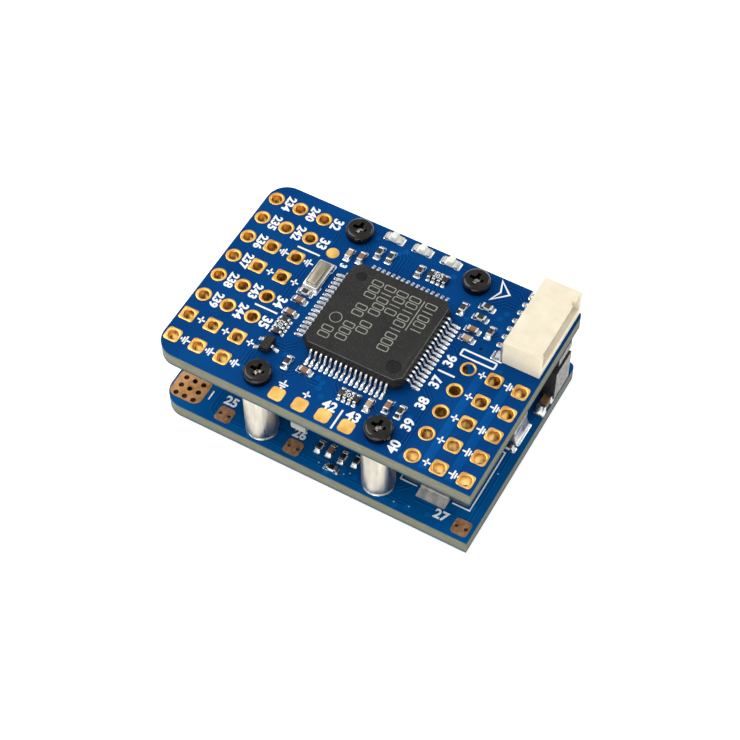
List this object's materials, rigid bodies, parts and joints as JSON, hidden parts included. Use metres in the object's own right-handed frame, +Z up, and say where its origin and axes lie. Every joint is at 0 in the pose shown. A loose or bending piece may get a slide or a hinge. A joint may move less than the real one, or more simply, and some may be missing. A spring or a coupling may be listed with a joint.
{
  "type": "flight controller board",
  "caption": "Two stacked blue circuit boards on four screwed posts, with a processor, plated wire and servo pads, and a side-entry cable socket.",
  "frame": {"origin": "middle of the power board's outline, on its underside", "axes": "+X along the long side towards the servo pads and the cable socket's mouth, +Y across towards the status lights, +Z up out of the processor"},
  "size_m": [0.0316, 0.0218, 0.0126],
  "materials": {
    "blue_board": "blue solder mask over glass-fibre laminate",
    "gold_plating": "thin gold over copper",
    "link_gold": "gold-flashed contacts",
    "black_mould": "fine matt moulding compound",
    "tinned_leads": "bright tin with solder",
    "tinned_ends": "satin tin with solder",
    "ceramic_base": "pale ceramic",
    "nickel_sheet": "nickel-plated sheet",
    "light_lens": "clear resin",
    "black_glaze": "glazed black",
    "tan_dielectric": "fired ceramic",
    "brown_dielectric": "fired ceramic",
    "cream_nylon": "natural nylon",
    "black_steel": "black oxide",
    "tinned_posts": "tinned brass, turned",
    "black_nylon": "black nylon",
    "sensor_laminate": "green laminate",
    "grey_nylon": "grey-beige nylon",
    "choke_powder": "pressed iron powder",
    "shunt_alloy": "coated resistance alloy"
  },
  "bodies": {
    "board_stack": {"upper_board": "blue_board", "round_pads": "gold_plating", "square_pads": "gold_plating", "soft_square_pads": "gold_plating", "edge_pads": "gold_plating", "processor_body": "black_mould", "processor_leads": "tinned_leads", "crystal_bases": "ceramic_base", "crystal_lids": "nickel_sheet", "status_light_bases": "ceramic_base", "status_light_lenses": "light_lens", "status_light_terminals": "tinned_ends", "resistor_bodies": "black_glaze", "tan_capacitor_bodies": "tan_dielectric", "brown_capacitor_bodies": "brown_dielectric", "chip_end_caps": "tinned_ends", "resistor_array_bodies": "black_glaze", "resistor_array_terminals": "tinned_ends", "transistor_body": "black_mould", "transistor_leads": "tinned_leads", "cable_socket_housing": "cream_nylon", "cable_socket_contacts": "tinned_leads", "cable_socket_tabs": "nickel_sheet", "screws": "black_steel", "posts": "tinned_posts", "link_socket_housing": "black_nylon", "link_socket_contacts": "link_gold", "link_header_base": "black_nylon", "link_header_pins": "link_gold", "motion_sensor": "black_mould", "pressure_sensor_base": "sensor_laminate", "pressure_sensor_lid": "nickel_sheet", "video_chip_body": "black_mould", "video_chip_leads": "tinned_leads", "memory_chip_body": "black_mould", "memory_chip_leads": "tinned_leads", "regulator_bodies": "black_mould", "regulator_leads": "tinned_leads", "boot_button_body": "black_nylon", "boot_button_cover": "nickel_sheet", "boot_button_leaf": "nickel_sheet", "boot_button_terminals": "tinned_ends", "lower_board": "blue_board", "battery_pads": "gold_plating", "servo_pads": "gold_plating", "choke_bodies": "choke_powder", "choke_terminals": "tinned_ends", "bulk_capacitor_bodies": "brown_dielectric", "bulk_capacitor_ends": "tinned_ends", "converter_bodies": "black_mould", "converter_leads": "tinned_leads", "current_shunt": "shunt_alloy", "shunt_terminals": "tinned_ends"},
    "button": {"boot_button_plunger": "grey_nylon"}
  },
  "joints": [
    {"name": "boot_button_press", "type": "slide", "parent": "board_stack", "child": "button", "axis": [0, 1, 0], "range_m": [0, 0.0002], "stiffness_N_per_m": 2000, "springref_m": -0.0006}
  ]
}
